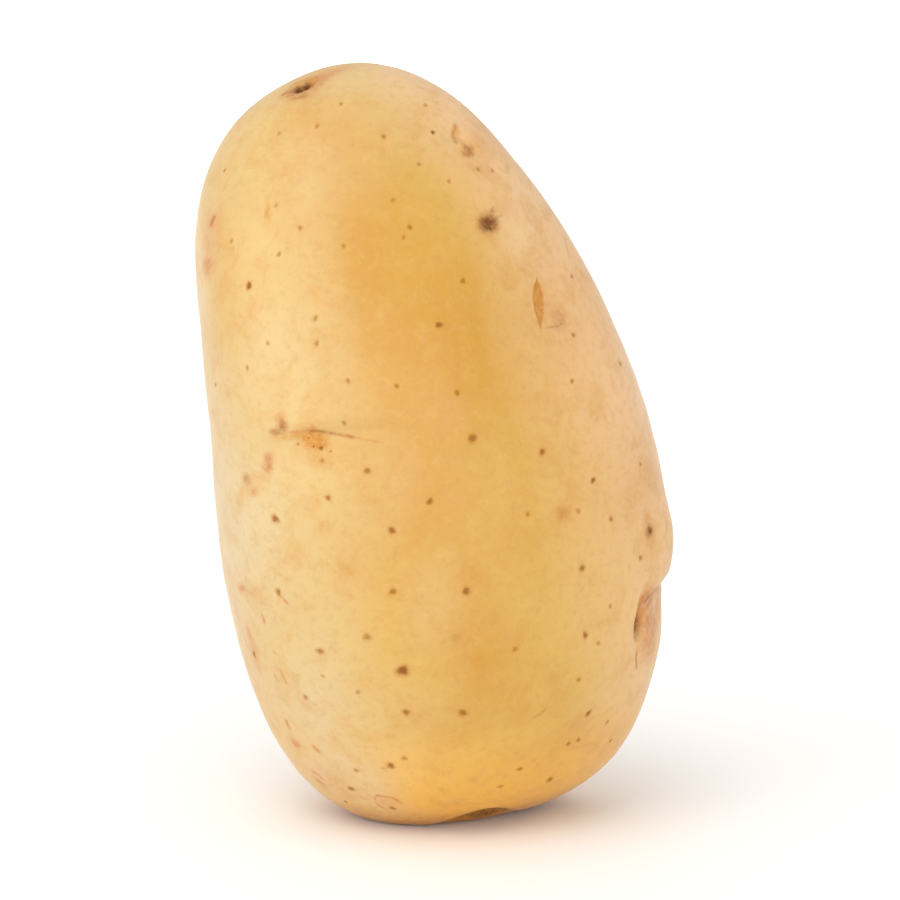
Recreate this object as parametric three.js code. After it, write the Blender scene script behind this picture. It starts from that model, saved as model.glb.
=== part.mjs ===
// A whole washed potato, smooth and yellow-skinned, standing on its heavier end.
// Millimetres. +Z is up and -Y is the side that faces the viewer. The origin is
// in the middle of the small flat spot that the potato stands on.
import * as THREE from 'three';

// The tuber before its lumps: an egg-like ellipsoid whose long axis leans.
const HALF_LENGTH = 57.8;
const HALF_WIDTH = 30.6;
const HALF_DEPTH = 29.3;
const LEAN_DEGREES = -14.2;
const MIDDLE = new THREE.Vector3(-7.2, 0.3, 53.1);

// How far the outline, seen from the front, stands out from that ellipse.
// One value every 30 degrees, clockwise from the stem end.
const OUTLINE_GROWTH = [-0.1, 4.4, 5.7, 8.0, 8.0, 2.1, -5.3, 0.8, 1.2, -4.7, -5.7, -1.9];

// Broad lumps and saddles: where they face, how far they rise, how wide they spread.
const SWELLINGS = [
  { name: 'foot at the back', toward: [0.22, 0.36, -0.91], rise: 4.2, spread: 18 },
  { name: 'foot at the front', toward: [-0.05, -0.3, -0.95], rise: 2.0, spread: 17 },
  { name: 'belly', toward: [0.25, -0.93, -0.25], rise: 1.3, spread: 34 },
  { name: 'flatter chest', toward: [-0.35, -0.8, 0.5], rise: -0.8, spread: 26 },
  { name: 'saddle in the back', toward: [-0.1, 0.92, 0.38], rise: -2.2, spread: 32 },
  { name: 'heavy end of the back', toward: [0.15, 0.9, -0.42], rise: 2.0, spread: 30 },
  { name: 'shoulder at the back', toward: [0.55, 0.7, 0.45], rise: 1.6, spread: 24 },
  { name: 'dip in the left flank', toward: [-0.98, 0, 0.17], rise: -0.5, spread: 9 },
  { name: 'flat of the right flank', toward: [0.99, 0, 0.09], rise: -0.4, spread: 9 },
  { name: 'heel on the right', toward: [0.6, 0, -0.8], rise: 0.4, spread: 10 },
];

// Height over which the skin rolls from the flat spot into the round side.
const FLAT_ROLL = 0.6;

// Eyes. Each has a curved brow on the side of the stem end, a hollow below the
// brow and a small bud in the hollow. East and north say where the middle of the
// brow lies: degrees round the long axis from the front, and degrees towards the
// stem end. Turn tips the brow clockwise. All other values are millimetres.
const EYES = [
  {
    name: 'long shallow eye on the front',
    east: -9, north: 9.9, turn: 5, reach: 7.2, arch: 0.6,
    hollow: 0.55, above: 1.7, below: 4.2, brow: 0.3, browRise: 1.9, browWidth: 1.5,
    crease: 0.2, creaseWidth: 0.5, bud: 0.3, budWidth: 1.3, budEast: -2.4, budDrop: 1.5,
  },
  {
    name: 'deep eye on the right side',
    east: 82, north: -25.5, turn: 0, reach: 5.6, arch: 0.9,
    hollow: 1.2, above: 1.3, below: 4.6, brow: 1.05, browRise: 7.8, browWidth: 5.6,
    crease: 0.45, creaseWidth: 0.6, bud: 0.2, budWidth: 1.5, budEast: 0, budDrop: 2.8,
  },
  {
    name: 'front lip of the deep eye',
    east: 64.3, north: -26.8, turn: -75, reach: 3.9, arch: 0.3,
    hollow: 0.7, above: 0.8, below: 2.4, brow: 0.15, browRise: 1.5, browWidth: 1.2,
    crease: 0.2, creaseWidth: 0.55, bud: 0, budWidth: 1, budEast: 0, budDrop: 0,
  },
  {
    name: 'small eye near the stem end',
    east: 60.8, north: 43.8, turn: 50, reach: 3.0, arch: 0.8,
    hollow: 0.4, above: 1.2, below: 2.0, brow: 0.15, browRise: 1.6, browWidth: 1.3,
    crease: 0.1, creaseWidth: 0.5, bud: 0.35, budWidth: 0.9, budEast: 0.3, budDrop: 0.9,
  },
  {
    name: 'dimple at the front of the base',
    east: 4, north: -73.2, turn: 20, reach: 4.6, arch: 2.5,
    hollow: 1.4, above: 0.8, below: 3.2, brow: 0.15, browRise: 1.9, browWidth: 1.5,
    crease: 0.1, creaseWidth: 0.6, bud: 0.2, budWidth: 1.0, budEast: 0, budDrop: 2.0,
  },
  {
    name: 'eye on the left side of the back',
    east: -128, north: -12, turn: -4, reach: 6.0, arch: 1.0,
    hollow: 0.9, above: 1.4, below: 3.4, brow: 0.4, browRise: 2.0, browWidth: 1.6,
    crease: 0.35, creaseWidth: 0.5, bud: 0.5, budWidth: 1.2, budEast: 0.4, budDrop: 1.5,
  },
  {
    name: 'eye high on the back',
    east: 196, north: 27, turn: 5, reach: 5.2, arch: 0.9,
    hollow: 0.8, above: 1.3, below: 3.0, brow: 0.35, browRise: 1.9, browWidth: 1.5,
    crease: 0.35, creaseWidth: 0.5, bud: 0.5, budWidth: 1.1, budEast: -0.5, budDrop: 1.4,
  },
  {
    name: 'eye low on the back',
    east: 150, north: -37, turn: -6, reach: 5.4, arch: 1.1,
    hollow: 1.2, above: 1.4, below: 3.2, brow: 0.5, browRise: 2.1, browWidth: 1.7,
    crease: 0.4, creaseWidth: 0.5, bud: 0.6, budWidth: 1.2, budEast: 0.3, budDrop: 1.5,
  },
  {
    name: 'small eye low on the left',
    east: -112, north: -44, turn: 8, reach: 3.8, arch: 0.8,
    hollow: 0.6, above: 1.1, below: 2.2, brow: 0.25, browRise: 1.6, browWidth: 1.3,
    crease: 0.25, creaseWidth: 0.45, bud: 0.4, budWidth: 0.9, budEast: 0, budDrop: 1.0,
  },
];

// The dry scar where the tuber hung from its underground stem: a torn pit in a
// shallow dip, with a corky rim.
const STEM_SCAR = {
  east: 19.7, north: 77, turn: -28,
  dip: 0.5, dipWidth: 4.2, rim: 0.15, rimRadius: 2.6, rimWidth: 0.9,
  pit: 1.0, pitReach: 1.25, pitWidth: 0.65,
};

// Triangle edges: short where the skin is creased, long where it is plain.
const FINE_EDGE = 0.95;
const COARSE_EDGE = 4.2;
const EDGE_GROWTH = 0.8;
const REFINING_ROUNDS = 9;
const FIRST_DIVISIONS = 9;

// Unglazed, slightly waxy skin.
const SKIN_COLOUR = 0xe3b468;
const SKIN_ROUGHNESS = 0.5;

// Step on the unit sphere for reading the slope of the skin.
const SLOPE_STEP = 1e-4;

const radians = THREE.MathUtils.degToRad;

function bell(distance, width) {
  return Math.exp(-((distance / width) ** 2));
}

function directionFrom(east, north) {
  const flat = Math.cos(radians(north));
  return new THREE.Vector3(
    Math.sin(radians(east)) * flat,
    -Math.cos(radians(east)) * flat,
    Math.sin(radians(north)),
  );
}

// The smoothest closed curve through the outline values at their stations.
function outlineGrowth(angle) {
  const count = OUTLINE_GROWTH.length;
  let growth = 0;
  OUTLINE_GROWTH.forEach((value, station) => {
    const gap = angle - (station * 2 * Math.PI) / count;
    const onStation = Math.abs(Math.sin(gap / 2)) < 1e-6;
    const weight = onStation ? 1 : Math.sin((count * gap) / 2) / (count * Math.tan(gap / 2));
    growth += value * weight;
  });
  return growth;
}

const LUMPS = SWELLINGS.map(({ toward, rise, spread }) => ({
  facing: new THREE.Vector3(...toward).normalize(),
  rise,
  sharpness: 1 / radians(spread) ** 2,
}));

function swelling(direction) {
  let total = 0;
  for (const lump of LUMPS) {
    total += lump.rise * Math.exp((direction.dot(lump.facing) - 1) * lump.sharpness);
  }
  return total;
}

// The smooth body without eyes, for a unit direction from its middle.
function bodyPoint(direction) {
  const inFrontView = direction.x ** 2 + direction.z ** 2;
  const growth = outlineGrowth(Math.atan2(direction.x, direction.z)) * inFrontView;
  const swell = swelling(direction);
  const point = new THREE.Vector3(
    direction.x * (HALF_WIDTH + growth + swell),
    direction.y * (HALF_DEPTH + swell),
    direction.z * (HALF_LENGTH + growth + swell),
  );
  const lean = radians(LEAN_DEGREES);
  return new THREE.Vector3(
    point.x * Math.cos(lean) + point.z * Math.sin(lean),
    point.y,
    point.z * Math.cos(lean) - point.x * Math.sin(lean),
  ).add(MIDDLE);
}

function bodyNormal(direction) {
  const across = new THREE.Vector3(0, 1, 0);
  if (Math.abs(direction.y) > 0.9) {
    across.set(1, 0, 0);
  }
  const first = new THREE.Vector3().crossVectors(across, direction).normalize();
  const second = new THREE.Vector3().crossVectors(direction, first);
  const slope = (along) => {
    const ahead = direction.clone().addScaledVector(along, SLOPE_STEP).normalize();
    const behind = direction.clone().addScaledVector(along, -SLOPE_STEP).normalize();
    return bodyPoint(ahead).sub(bodyPoint(behind));
  };
  return new THREE.Vector3().crossVectors(slope(first), slope(second)).normalize();
}

// A local frame on the skin: north runs to the stem end, east runs round the tuber.
function placeOnSkin(feature) {
  const direction = directionFrom(feature.east, feature.north);
  const centre = bodyPoint(direction);
  const out = bodyNormal(direction);
  const axis = new THREE.Vector3(
    Math.sin(radians(LEAN_DEGREES)),
    0,
    Math.cos(radians(LEAN_DEGREES)),
  );
  const north = axis.addScaledVector(out, -axis.dot(out)).normalize();
  const east = new THREE.Vector3().crossVectors(north, out);
  north.applyAxisAngle(out, -radians(feature.turn));
  east.applyAxisAngle(out, -radians(feature.turn));
  return { ...feature, centre, out, eastAxis: east, northAxis: north };
}

function localPosition(feature, point) {
  const offset = point.clone().sub(feature.centre);
  return {
    east: offset.dot(feature.eastAxis),
    north: offset.dot(feature.northAxis),
    depth: offset.dot(feature.out),
  };
}

// How far an eye lifts the skin; below zero it sinks.
function eyeRelief(eye, { east, north, depth }) {
  const fade = bell(east, eye.reach);
  const overBrow = north - eye.arch * (1 - (east / eye.reach) ** 2);
  const side = overBrow > 0 ? eye.above : eye.below;
  const hollow = -eye.hollow * fade * bell(overBrow, side);
  const brow = eye.brow * fade * bell(overBrow - eye.browRise, eye.browWidth);
  const crease = -eye.crease * fade * bell(overBrow, eye.creaseWidth);
  const bud = eye.bud * bell(Math.hypot(east - eye.budEast, overBrow + eye.budDrop), eye.budWidth);
  return (hollow + brow + crease + bud) * bell(depth, 3 * eye.reach);
}

// How far the stem scar lifts the skin; below zero it sinks.
function scarRelief(scar, { east, north, depth }) {
  const radius = Math.hypot(east, north);
  const dip = -scar.dip * bell(radius, scar.dipWidth);
  const rim = scar.rim * bell(radius - scar.rimRadius, scar.rimWidth);
  const pit = -scar.pit * bell(east, scar.pitReach) * bell(north, scar.pitWidth);
  return (dip + rim + pit) * bell(depth, 3 * scar.dipWidth);
}

const PLACED_EYES = EYES.map(placeOnSkin);
const PLACED_SCAR = placeOnSkin(STEM_SCAR);

// The underside is pressed flat where it meets the ground.
function settle(height) {
  if (height < -FLAT_ROLL) {
    return 0;
  }
  if (height > FLAT_ROLL) {
    return height;
  }
  return (height + FLAT_ROLL) ** 2 / (4 * FLAT_ROLL);
}

function skinPoint(direction) {
  const point = bodyPoint(direction);
  let lift = scarRelief(PLACED_SCAR, localPosition(PLACED_SCAR, point));
  for (const eye of PLACED_EYES) {
    lift += eyeRelief(eye, localPosition(eye, point));
  }
  point.addScaledVector(bodyNormal(direction), lift);
  point.z = settle(point.z);
  return point;
}

// The longest triangle edge that the skin may have round a point.
function wantedEdge(point) {
  let edge = COARSE_EDGE;
  const grow = (feature, reach, height) => {
    const place = localPosition(feature, point);
    const away = Math.hypot(
      Math.max(0, Math.abs(place.east) - reach),
      Math.max(0, Math.abs(place.north) - height),
      Math.max(0, Math.abs(place.depth) - reach),
    );
    edge = Math.min(edge, FINE_EDGE + EDGE_GROWTH * away);
  };
  for (const eye of PLACED_EYES) {
    grow(eye, eye.reach * 0.8, eye.arch + 0.8);
  }
  grow(PLACED_SCAR, STEM_SCAR.pitReach, STEM_SCAR.pitReach);
  return edge;
}

// A ball of even triangles: unit directions, and three corner numbers a triangle.
function firstNet() {
  const ball = new THREE.IcosahedronGeometry(1, FIRST_DIVISIONS);
  const spots = ball.getAttribute('position');
  const known = new Map();
  const directions = [];
  const corners = [];
  for (let i = 0; i < spots.count; i += 1) {
    const direction = new THREE.Vector3().fromBufferAttribute(spots, i).normalize();
    const key = direction.toArray().map((value) => Math.round(value * 1e5)).join(' ');
    if (!known.has(key)) {
      known.set(key, directions.length);
      directions.push(direction);
    }
    corners.push(known.get(key));
  }
  const triangles = [];
  for (let i = 0; i < corners.length; i += 3) {
    triangles.push(corners.slice(i, i + 3));
  }
  return { directions, triangles };
}

function edgeKey(a, b) {
  return a < b ? `${a} ${b}` : `${b} ${a}`;
}

// Every triangle turned so that its longest edge comes first.
function longestFirst(triangle, points) {
  const [a, b, c] = triangle;
  const ab = points[a].distanceToSquared(points[b]);
  const bc = points[b].distanceToSquared(points[c]);
  const ca = points[c].distanceToSquared(points[a]);
  if (ab >= bc && ab >= ca) {
    return [a, b, c];
  }
  return bc >= ca ? [b, c, a] : [c, a, b];
}

// The edges to halve: the ones that are too long, and then the longest edge of
// every triangle that has an edge to halve, so that no triangle grows thin.
function edgesToHalve(triangles, points) {
  const marked = new Set();
  for (const [a, b, c] of triangles) {
    for (const [from, to] of [[a, b], [b, c], [c, a]]) {
      const middle = points[from].clone().add(points[to]).multiplyScalar(0.5);
      if (points[from].distanceTo(points[to]) > wantedEdge(middle)) {
        marked.add(edgeKey(from, to));
      }
    }
  }
  let grew = true;
  while (grew) {
    grew = false;
    for (const [a, b, c] of triangles) {
      const longest = edgeKey(a, b);
      if (!marked.has(longest) && (marked.has(edgeKey(b, c)) || marked.has(edgeKey(c, a)))) {
        marked.add(longest);
        grew = true;
      }
    }
  }
  return marked;
}

function refine({ directions, triangles, points }) {
  const turned = triangles.map((triangle) => longestFirst(triangle, points));
  const marked = edgesToHalve(turned, points);
  const middles = new Map();
  const middleOf = (a, b) => {
    const key = edgeKey(a, b);
    if (!marked.has(key)) {
      return -1;
    }
    if (!middles.has(key)) {
      const direction = directions[a].clone().add(directions[b]).normalize();
      middles.set(key, directions.length);
      directions.push(direction);
      points.push(skinPoint(direction));
    }
    return middles.get(key);
  };
  const finer = [];
  for (const [a, b, c] of turned) {
    const m = middleOf(a, b);
    if (m < 0) {
      finer.push([a, b, c]);
      continue;
    }
    const n = middleOf(b, c);
    const o = middleOf(c, a);
    finer.push(...(n < 0 ? [[m, b, c]] : [[m, b, n], [m, n, c]]));
    finer.push(...(o < 0 ? [[a, m, c]] : [[a, m, o], [m, c, o]]));
  }
  return { directions, triangles: finer, points };
}

function skinGeometry() {
  let net = firstNet();
  net.points = net.directions.map(skinPoint);
  for (let round = 0; round < REFINING_ROUNDS; round += 1) {
    net = refine(net);
  }
  const geometry = new THREE.BufferGeometry();
  geometry.setAttribute(
    'position',
    new THREE.Float32BufferAttribute(net.points.flatMap((point) => point.toArray()), 3),
  );
  geometry.setIndex(net.triangles.flat());
  geometry.computeVertexNormals();
  return geometry;
}

function skinMaterial() {
  return new THREE.MeshStandardMaterial({
    name: 'skin',
    color: SKIN_COLOUR,
    roughness: SKIN_ROUGHNESS,
    metalness: 0,
  });
}

function potato() {
  const mesh = new THREE.Mesh(skinGeometry(), skinMaterial());
  mesh.name = 'potato';
  return mesh;
}

const group = new THREE.Group();
group.name = 'potato_whole';
group.add(potato());

export default group;
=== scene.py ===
"""A whole washed potato, standing on its heavier end on a white studio floor.

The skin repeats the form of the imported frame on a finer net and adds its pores,
creases, scars and colours. Lengths are worked out in millimetres and handed to
Blender in metres.
"""
import math

import bpy
import numpy as np
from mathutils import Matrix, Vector


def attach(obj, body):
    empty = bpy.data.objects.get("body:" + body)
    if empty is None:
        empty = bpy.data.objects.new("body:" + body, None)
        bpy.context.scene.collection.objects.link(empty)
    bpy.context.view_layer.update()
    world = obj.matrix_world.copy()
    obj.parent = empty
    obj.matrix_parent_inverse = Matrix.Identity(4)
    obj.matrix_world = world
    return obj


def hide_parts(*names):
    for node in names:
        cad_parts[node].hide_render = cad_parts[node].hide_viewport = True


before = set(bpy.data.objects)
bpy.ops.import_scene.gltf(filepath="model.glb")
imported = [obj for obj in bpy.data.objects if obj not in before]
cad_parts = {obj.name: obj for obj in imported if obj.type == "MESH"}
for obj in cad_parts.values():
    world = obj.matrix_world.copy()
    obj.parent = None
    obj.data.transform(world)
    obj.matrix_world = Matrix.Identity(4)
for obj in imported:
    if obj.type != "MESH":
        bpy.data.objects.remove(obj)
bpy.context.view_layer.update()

MM = 0.001

# The camera, in mm.
ELEVATION = math.radians(10.0)
LENS = 135.0
SENSOR = 36.0
PICTURE = 900
PIXELS_PER_MM = 6.8
FOCAL_PIXELS = LENS * PICTURE / SENSOR
DISTANCE = FOCAL_PIXELS / PIXELS_PER_MM
AIM = np.array([2.1, 1.2, 54.5])
VIEW = np.array([0, -math.cos(ELEVATION), math.sin(ELEVATION)])


def project(points):
    """Where points in mm fall in the 900 by 900 picture: column, row."""
    c, s = math.cos(ELEVATION), math.sin(ELEVATION)
    x, y, z = (points - AIM).T
    depth = DISTANCE + y * c - z * s
    up = y * s + z * c
    return PICTURE / 2 + FOCAL_PIXELS * np.stack([x, -up], 1) / depth[:, None]


# The body, in mm.
HALF_LENGTH, HALF_WIDTH, HALF_DEPTH = 57.8, 30.6, 29.3
LEAN = math.radians(-14.2)
MIDDLE = np.array([-7.2, 0.3, 53.1])
OUTLINE_GROWTH = [-0.1, 4.4, 5.7, 8.0, 8.0, 2.1, -5.3, 0.8, 1.2, -4.7, -5.7, -1.9]
# Swellings: direction, rise in mm, spread in degrees.
SWELLINGS = [
    ((0.22, 0.36, -0.91), 4.2, 18),
    ((-0.05, -0.3, -0.95), 2.0, 17),
    ((0.25, -0.93, -0.25), 1.3, 34),
    ((-0.35, -0.8, 0.5), -0.8, 26),
    ((-0.1, 0.92, 0.38), -2.2, 32),
    ((0.15, 0.9, -0.42), 2.0, 30),
    ((0.55, 0.7, 0.45), 1.6, 24),
    ((-0.98, 0, 0.17), -0.5, 9),
    ((0.99, 0, 0.09), -0.4, 9),
    ((0.6, 0, -0.8), 0.4, 10),
]
FLAT_ROLL = 0.6


# An eye's place and turn are in degrees, and its other measures in mm.
EYE_FIELDS = ["east", "north", "turn", "reach", "arch", "hollow", "above", "below", "brow", "brow_rise",
              "brow_width", "crease", "crease_width", "bud", "bud_width", "bud_east", "bud_drop", "tint"]


def eye(*values):
    """The measures by name. The tint is 1 where none is given."""
    return {"tint": 1.0, **dict(zip(EYE_FIELDS, values))}


EYES = {
    "front": eye(-9, 9.9, 5, 7.2, 0.6, 0.55, 1.7, 4.2, 0.3, 1.9, 1.5, 0.2, 0.5, 0.3, 1.3, -2.4, 1.5, 0.0),
    "right": eye(82, -25.5, 0, 5.6, 0.9, 1.2, 1.3, 4.6, 1.05, 7.8, 5.6, 0.45, 0.6, 0.2, 1.5, 0, 2.8, 0.5),
    "right lip": eye(64.3, -26.8, -75, 3.9, 0.3, 0.7, 0.8, 2.4, 0.15, 1.5, 1.2, 0.2, 0.55, 0, 1, 0, 0, 0.0),
    "upper": eye(60.8, 43.8, 50, 3.0, 0.8, 0.4, 1.2, 2.0, 0.15, 1.6, 1.3, 0.1, 0.5, 0.35, 0.9, 0.3, 0.9, 0.0),
    "base": eye(4, -73.2, 20, 4.6, 2.5, 1.4, 0.8, 3.2, 0.15, 1.9, 1.5, 0.1, 0.6, 0.2, 1.0, 0, 2.0, 0.0),
    "back left": eye(-128, -12, -4, 6.0, 1.0, 0.9, 1.4, 3.4, 0.4, 2.0, 1.6, 0.35, 0.5, 0.5, 1.2, 0.4, 1.5),
    "back high": eye(196, 27, 5, 5.2, 0.9, 0.8, 1.3, 3.0, 0.35, 1.9, 1.5, 0.35, 0.5, 0.5, 1.1, -0.5, 1.4),
    "back low": eye(150, -37, -6, 5.4, 1.1, 1.2, 1.4, 3.2, 0.5, 2.1, 1.7, 0.4, 0.5, 0.6, 1.2, 0.3, 1.5),
    "left low": eye(-112, -44, 8, 3.8, 0.8, 0.6, 1.1, 2.2, 0.25, 1.6, 1.3, 0.25, 0.45, 0.4, 0.9, 0, 1.0),
}
SCAR = dict(east=19.7, north=77, turn=-28, dip=0.5, dip_width=4.2, rim=0.15, rim_radius=2.6,
            rim_width=0.9, pit=1.0, pit_reach=1.25, pit_width=0.65)


def bell(distance, width):
    return np.exp(-((distance / width) ** 2))


def unit(v):
    return v / np.linalg.norm(v, axis=-1, keepdims=True)


def direction_from(east, north):
    east, north = np.radians(east), np.radians(north)
    return np.stack([np.sin(east) * np.cos(north), -np.cos(east) * np.cos(north), np.sin(north)], -1)


def outline_growth(angle):
    count = len(OUTLINE_GROWTH)
    growth = np.zeros_like(angle)
    for station, value in enumerate(OUTLINE_GROWTH):
        gap = angle - station * 2 * math.pi / count
        on = np.abs(np.sin(gap / 2)) < 1e-6
        safe = np.where(on, 1.0, gap)
        growth += value * np.where(on, 1.0, np.sin(count * safe / 2) / (count * np.tan(safe / 2)))
    return growth


def body_point(d):
    in_front_view = d[:, 0] ** 2 + d[:, 2] ** 2
    growth = outline_growth(np.arctan2(d[:, 0], d[:, 2])) * in_front_view
    swell = np.zeros(len(d))
    for toward, rise, spread in SWELLINGS:
        facing = unit(np.array(toward, float))
        swell += rise * np.exp((d @ facing - 1) / math.radians(spread) ** 2)
    q = np.stack([d[:, 0] * (HALF_WIDTH + growth + swell), d[:, 1] * (HALF_DEPTH + swell),
                  d[:, 2] * (HALF_LENGTH + growth + swell)], 1)
    c, s = math.cos(LEAN), math.sin(LEAN)
    return np.stack([q[:, 0] * c + q[:, 2] * s, q[:, 1], q[:, 2] * c - q[:, 0] * s], 1) + MIDDLE


def tangents(d):
    across = np.where(np.abs(d[:, 1:2]) > 0.9, [[1.0, 0, 0]], [[0, 1.0, 0]])
    first = unit(np.cross(across, d))
    return first, np.cross(d, first)


def body_normal(d):
    first, second = tangents(d)
    step = 1e-4
    slopes = [body_point(unit(d + step * t)) - body_point(unit(d - step * t)) for t in (first, second)]
    return unit(np.cross(*slopes))


def turned(v, out, angle):
    c, s = math.cos(angle), math.sin(angle)
    return v * c + np.cross(out, v) * s + out * (out @ v) * (1 - c)


def place(feature):
    d = direction_from(feature["east"], feature["north"])[None]
    centre, out = body_point(d)[0], body_normal(d)[0]
    axis = np.array([math.sin(LEAN), 0, math.cos(LEAN)])
    north = unit(axis - out * (axis @ out))
    east = np.cross(north, out)
    angle = -math.radians(feature["turn"])
    return dict(feature, centre=centre, out=out, e=turned(east, out, angle), n=turned(north, out, angle))


def local(f, p):
    o = p - f["centre"]
    return o @ f["e"], o @ f["n"], o @ f["out"]


def over_brow(f, east, north):
    return north - f["arch"] * (1 - (east / f["reach"]) ** 2)


def eye_relief(f, p):
    east, north, depth = local(f, p)
    fade = bell(east, f["reach"])
    over = over_brow(f, east, north)
    side = np.where(over > 0, f["above"], f["below"])
    lift = -f["hollow"] * fade * bell(over, side)
    lift += f["brow"] * fade * bell(over - f["brow_rise"], f["brow_width"])
    lift -= f["crease"] * fade * bell(over, f["crease_width"])
    lift += f["bud"] * bell(np.hypot(east - f["bud_east"], over + f["bud_drop"]), f["bud_width"])
    return lift * bell(depth, 3 * f["reach"])


def scar_relief(f, p):
    east, north, depth = local(f, p)
    radius = np.hypot(east, north)
    lift = -f["dip"] * bell(radius, f["dip_width"])
    lift += f["rim"] * bell(radius - f["rim_radius"], f["rim_width"])
    lift -= f["pit"] * bell(east, f["pit_reach"]) * bell(north, f["pit_width"])
    return lift * bell(depth, 3 * f["dip_width"])


PLACED_EYES = {name: place(f) for name, f in EYES.items()}
PLACED_SCAR = place(SCAR)


def settle(z):
    rolled = (z + FLAT_ROLL) ** 2 / (4 * FLAT_ROLL)
    return np.where(z < -FLAT_ROLL, 0.0, np.where(z > FLAT_ROLL, z, rolled))


# The marks, placed as in the photograph. Columns, rows and sizes are in pixels of the 900 by 900 picture.
# Pores: column, row, radius, darkness.
PORES = [
    (248, 285.5, 3.2, 0.9), (463, 281, 2.8, 0.6), (439, 325, 3.2, 0.75), (473, 438, 4.2, 0.7),
    (543, 452, 3.2, 0.8), (593, 480.5, 2.6, 0.9), (430, 501.7, 3.0, 0.7), (392, 531, 3.4, 0.75),
    (275, 519, 3.8, 0.8), (582, 568, 3.2, 0.7), (466, 591, 3.8, 0.8), (393, 592, 3.2, 0.6),
    (585, 635, 3.0, 0.75), (367, 637, 3.6, 0.5), (320, 651, 3.4, 0.6), (403, 671, 5.4, 0.95),
    (406, 713, 3.4, 0.7), (463, 713, 4.0, 0.7), (588, 713, 3.2, 0.75), (550, 780, 3.4, 0.7),
    (351, 789, 3.2, 0.75), (433, 132.5, 2.0, 1.0), (384, 136.5, 2.4, 0.5), (279, 133, 2.0, 0.4),
    (317, 126, 2.2, 0.4), (341, 104, 2.0, 0.4), (425, 106, 2.2, 0.4), (419, 164, 2.0, 0.5),
    (449, 181, 2.2, 0.35), (224, 170, 2.0, 0.5), (393, 200, 2.4, 0.3), (410, 227, 2.6, 0.5),
    (404, 237, 2.0, 0.4), (300, 227.5, 2.4, 0.4), (343.5, 246, 2.2, 0.4), (231, 241, 2.4, 0.4),
    (278.5, 254, 2.2, 0.45), (276, 205, 2.0, 0.3), (316, 318.5, 2.6, 0.45), (267, 343, 2.0, 0.35),
    (317, 343.5, 2.4, 0.45), (246, 368, 2.2, 0.4), (348, 381, 2.2, 0.4), (215.5, 385, 2.2, 0.5),
    (397, 386, 2.2, 0.45), (457.5, 392.5, 2.8, 0.5), (572, 381, 2.2, 0.6), (573.5, 335, 2.2, 0.55),
    (571, 277, 2.2, 0.5), (620, 364, 2.2, 0.5), (344, 423, 2.2, 0.45), (367, 471, 2.8, 0.65),
    (328, 498, 2.8, 0.65), (641, 464, 2.0, 0.5), (528, 514, 2.2, 0.45), (611, 519, 2.4, 0.6),
    (640.5, 558, 2.4, 0.6), (610, 606, 2.2, 0.4), (515, 649, 2.6, 0.4), (598, 643, 2.2, 0.4),
    (254, 654, 2.4, 0.5), (578, 679, 2.4, 0.45), (358, 692, 2.4, 0.4),
    (607, 722, 2.2, 0.45), (578, 739, 2.4, 0.5), (568, 743, 2.4, 0.55), (610, 740, 2.2, 0.45),
    (391, 765, 3.4, 0.8), (404.5, 758, 2.6, 0.45), (356, 770.5, 2.4, 0.5), (520, 769, 2.6, 0.6),
    (501, 787, 2.6, 0.45), (345.5, 802, 2.2, 0.5), (479, 169, 2.2, 0.35), (493, 170, 2.2, 0.35),
    (320.7, 448.2, 1.9, 0.9), (297.1, 444.4, 1.3, 0.7), (330, 451.8, 1.1, 0.6), (321.5, 461, 1.9, 0.5),
    (313.3, 446.7, 1.2, 0.8), (307.5, 438, 1.1, 0.6), (305.4, 697.3, 2.6, 0.5), (323.4, 675.9, 2.0, 0.25),
    (578, 511, 2.6, 0.4), (278, 592, 3.2, 0.6), (393, 808, 3.0, 0.6),
]
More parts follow.
